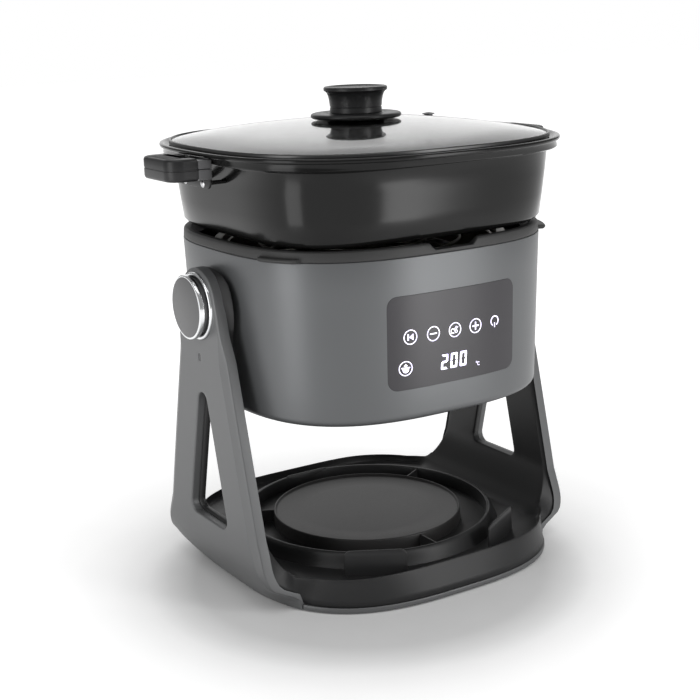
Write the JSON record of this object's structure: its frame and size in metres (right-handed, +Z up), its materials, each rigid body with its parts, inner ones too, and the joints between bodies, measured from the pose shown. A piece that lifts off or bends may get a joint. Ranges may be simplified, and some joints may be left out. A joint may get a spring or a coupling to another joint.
{
  "type": "multi-cooker",
  "caption": "Turn-over multi-cooker and air fryer: a heating head hung between the arms of a tray-shaped stand, with a non-stick pot, its side handles and a glass lid",
  "frame": {"origin": "middle of the footprint, at the height the feet stand on", "axes": "X runs along the turning axis from the left arm to the right arm, -Y is the front with the control panel, Z is up"},
  "size_m": [0.392, 0.3276, 0.4243],
  "materials": {
    "black_moulding": "fine-grained satin black moulding",
    "grey_cover": "satin mid-grey metallic paint",
    "head_shell": "satin mid-grey metallic paint with a fine vertical brush",
    "bright_ring": "bright plated ring",
    "button_cap": "satin grey disc with a bright turned chamfer",
    "steel": "plain steel",
    "rubber": "dull black rubber",
    "bearing_plastic": "natural acetal",
    "circuit_board": "green lacquered board",
    "indicator": "dark smoked lens, lamp off",
    "rim_moulding": "dark grey heat-proof moulding",
    "chamber_steel": "aluminised steel sheet",
    "heater": "oxidised sheath",
    "motor": "dark motor case",
    "panel_glass": "smoked grey touch panel with white lit figures",
    "fan_metal": "plain pressed aluminium",
    "pot_coating": "satin black non-stick coating",
    "handle_plastic": "satin black phenolic moulding",
    "bracket_metal": "satin dark-grey metal",
    "lid_glass": "clear tempered glass",
    "lid_band": "dark polished steel rim"
  },
  "bodies": {
    "stand": {"base_tray": "black_moulding", "bottom_plate": "black_moulding", "front_trim": "grey_cover", "rear_trim": "grey_cover", "left_side_cover": "grey_cover", "right_side_cover": "grey_cover", "left_arm_liner": "black_moulding", "right_arm_liner": "black_moulding", "left_pivot_bush": "bearing_plastic", "right_pivot_bush": "bearing_plastic", "left_bezel": "bright_ring", "right_bezel": "bright_ring", "left_button_spring": "steel", "right_button_spring": "steel", "cord_gland": "rubber", "power_board": "circuit_board", "indicator_light": "indicator", "foot_front_left": "rubber", "foot_front_right": "rubber", "foot_rear_left": "rubber", "foot_rear_right": "rubber", "base_screws": "steel", "arm_screws": "steel"},
    "left_button": {"left_button": "button_cap"},
    "right_button": {"right_button": "button_cap"},
    "head": {"head_shell": "head_shell", "head_end_cover": "head_shell", "rim_ring": "rim_moulding", "heat_chamber": "chamber_steel", "heating_element": "heater", "element_guard": "chamber_steel", "fan_motor": "motor", "motor_bracket": "chamber_steel", "control_panel": "panel_glass", "display_board": "circuit_board", "left_trunnion": "steel", "right_trunnion": "steel", "temperature_sensor": "steel", "head_screws": "steel"},
    "fan": {"fan_impeller": "fan_metal", "cooling_fan": "fan_metal"},
    "pot": {"pot_shell": "pot_coating", "left_pot_handle": "handle_plastic", "right_pot_handle": "handle_plastic", "left_handle_bracket": "bracket_metal", "right_handle_bracket": "bracket_metal", "handle_rivets": "steel"},
    "lid": {"lid_glass": "lid_glass", "lid_band": "lid_band", "knob_seat": "handle_plastic", "knob_washer": "rubber", "lid_knob": "handle_plastic", "knob_screw": "steel", "steam_vent": "steel"}
  },
  "joints": [
    {"name": "head_turn", "type": "hinge", "parent": "stand", "child": "head", "pos_m": [0, 0, 0.251], "axis": [1, 0, 0], "range_deg": [0, 180]},
    {"name": "pot_lift", "type": "slide", "parent": "stand", "child": "pot", "axis": [0, 0, 1], "range_m": [0, 0.48]},
    {"name": "lid_lift", "type": "slide", "parent": "pot", "child": "lid", "axis": [0, 0, 1], "range_m": [0, 0.15]},
    {"name": "left_button_press", "type": "slide", "parent": "stand", "child": "left_button", "axis": [1, 0, 0], "range_m": [0, 0.003], "stiffness_N_per_m": 800, "springref_m": -0.002},
    {"name": "right_button_press", "type": "slide", "parent": "stand", "child": "right_button", "axis": [-1, 0, 0], "range_m": [0, 0.003], "stiffness_N_per_m": 800, "springref_m": -0.002},
    {"name": "fan_spin", "type": "hinge", "parent": "head", "child": "fan", "pos_m": [0, 0, 0.22], "axis": [0, 0, 1], "continuous": true}
  ],
  "couplings": [
    {"joint": "pot_lift", "follows": "head_turn", "m_per_rad": 0.15}
  ]
}
